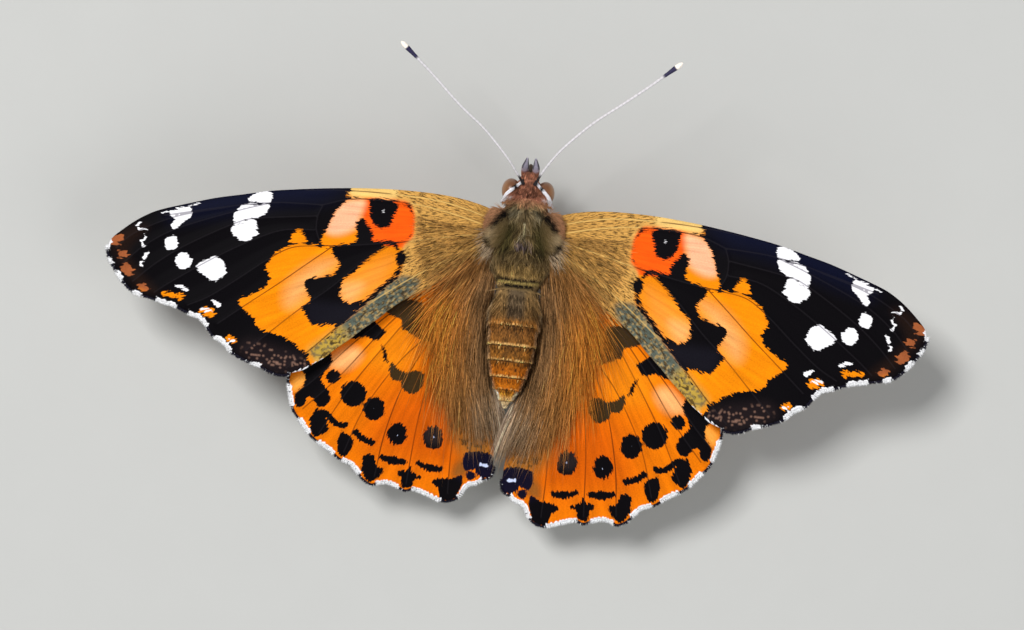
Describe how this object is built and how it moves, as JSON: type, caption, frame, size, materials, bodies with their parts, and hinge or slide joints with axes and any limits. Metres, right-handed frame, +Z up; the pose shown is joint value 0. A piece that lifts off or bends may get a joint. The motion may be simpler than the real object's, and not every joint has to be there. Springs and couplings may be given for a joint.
{
  "type": "painted lady butterfly model",
  "caption": "Life-size painted lady butterfly, still, wings spread flat, standing on its walking legs with feelers raised and tongue rolled up.",
  "frame": {"origin": "on the floor that the feet stand on, under the middle of the whole model's box", "axes": "+Y from the tail to the head, +X to the animal's right, +Z up"},
  "size_m": [0.0622, 0.0358, 0.0132],
  "materials": {
    "wing": "thin scaled membrane, orange with black and white marks",
    "body": "olive-brown fur",
    "belly": "orange-brown scales in rings",
    "eye": "glossy faceted brown",
    "feeler": "dark, finely ringed",
    "leg": "pale brown, finely scaled"
  },
  "bodies": {
    "root": {"thorax": "body", "collar": "body", "head": "body", "abdomen": "belly", "proboscis": "feeler", "forewing_right": "wing", "hindwing_right": "wing", "eye_right": "eye", "tegula_right": "body", "palp_right": "body", "antenna_right": "feeler", "foreleg_right": "leg", "midleg_thigh_right": "leg", "midleg_shin_right": "leg", "midleg_foot_right": "leg", "hindleg_thigh_right": "leg", "hindleg_shin_right": "leg", "hindleg_foot_right": "leg", "forewing_left": "wing", "hindwing_left": "wing", "eye_left": "eye", "tegula_left": "body", "palp_left": "body", "antenna_left": "feeler", "foreleg_left": "leg", "midleg_thigh_left": "leg", "midleg_shin_left": "leg", "midleg_foot_left": "leg", "hindleg_thigh_left": "leg", "hindleg_shin_left": "leg", "hindleg_foot_left": "leg"}
  },
  "joints": []
}
